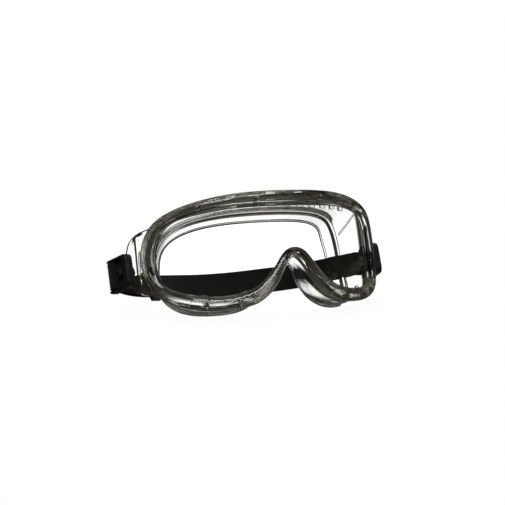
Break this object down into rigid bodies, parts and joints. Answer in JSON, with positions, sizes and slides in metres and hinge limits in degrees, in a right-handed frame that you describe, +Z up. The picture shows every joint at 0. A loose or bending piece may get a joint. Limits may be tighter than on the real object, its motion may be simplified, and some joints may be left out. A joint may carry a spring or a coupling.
{
  "type": "safety goggles",
  "caption": "Wrap-round splash goggles: clear soft frame with face seal, curved one-piece lens, vent baffles, swivelling strap clips and an elastic headband with keeper",
  "frame": {"origin": "middle of the bounding box in X and Y, at the table the goggles rest on (bottom of the two cheek lobes)", "axes": "+X to the wearer's left (right when seen from the front), -Y the way the lens looks, +Z up; the frame leans back 13.7 degrees as it rests"},
  "size_m": [0.206, 0.1053, 0.0831],
  "materials": {
    "clear_pvc": "clear soft PVC, glossy, slightly tinted where thick",
    "clear_lens": "clear polycarbonate, polished",
    "clear_vent": "clear moulded plastic, light sheen",
    "black_nylon": "black moulded nylon, satin",
    "black_elastic": "black woven elastic webbing",
    "dark_pin": "dark moulded rivet"
  },
  "bodies": {
    "goggle_frame": {"bottom_vent_baffle_left": "clear_vent", "bottom_vent_baffle_right": "clear_vent", "clip_rivet_left": "dark_pin", "clip_rivet_right": "dark_pin", "frame_body": "clear_pvc", "lens": "clear_lens", "pivot_washer_left": "clear_vent", "pivot_washer_right": "clear_vent", "rivet_cap_left": "clear_vent", "rivet_cap_right": "clear_vent", "top_vent_baffle": "clear_vent", "vent_stud_bottom_inner_left": "clear_vent", "vent_stud_bottom_inner_right": "clear_vent", "vent_stud_bottom_outer_left": "clear_vent", "vent_stud_bottom_outer_right": "clear_vent", "vent_stud_top_inner_left": "clear_vent", "vent_stud_top_inner_right": "clear_vent", "vent_stud_top_outer_left": "clear_vent", "vent_stud_top_outer_right": "clear_vent"},
    "clip_left": {"strap_clip_left": "black_nylon"},
    "clip_right": {"strap_clip_right": "black_nylon", "headband_strap": "black_elastic"},
    "keeper": {"strap_keeper": "black_nylon"}
  },
  "joints": [
    {"name": "clip_right_swivel", "type": "hinge", "parent": "goggle_frame", "child": "clip_right", "pos_m": [-0.0945, 0.01398, 0.02813], "axis": [1, 0, 0], "range_deg": [-20, 20]},
    {"name": "clip_left_swivel", "type": "hinge", "parent": "goggle_frame", "child": "clip_left", "pos_m": [0.0945, 0.01398, 0.02813], "axis": [1, 0, 0], "range_deg": [-20, 20]},
    {"name": "keeper_slide", "type": "slide", "parent": "clip_right", "child": "keeper", "axis": [0.9637, 0.2551, -0.0794], "range_m": [-0.0025, 0.004]}
  ],
  "couplings": [
    {"joint": "clip_left_swivel", "follows": "clip_right_swivel", "ratio": 1}
  ]
}
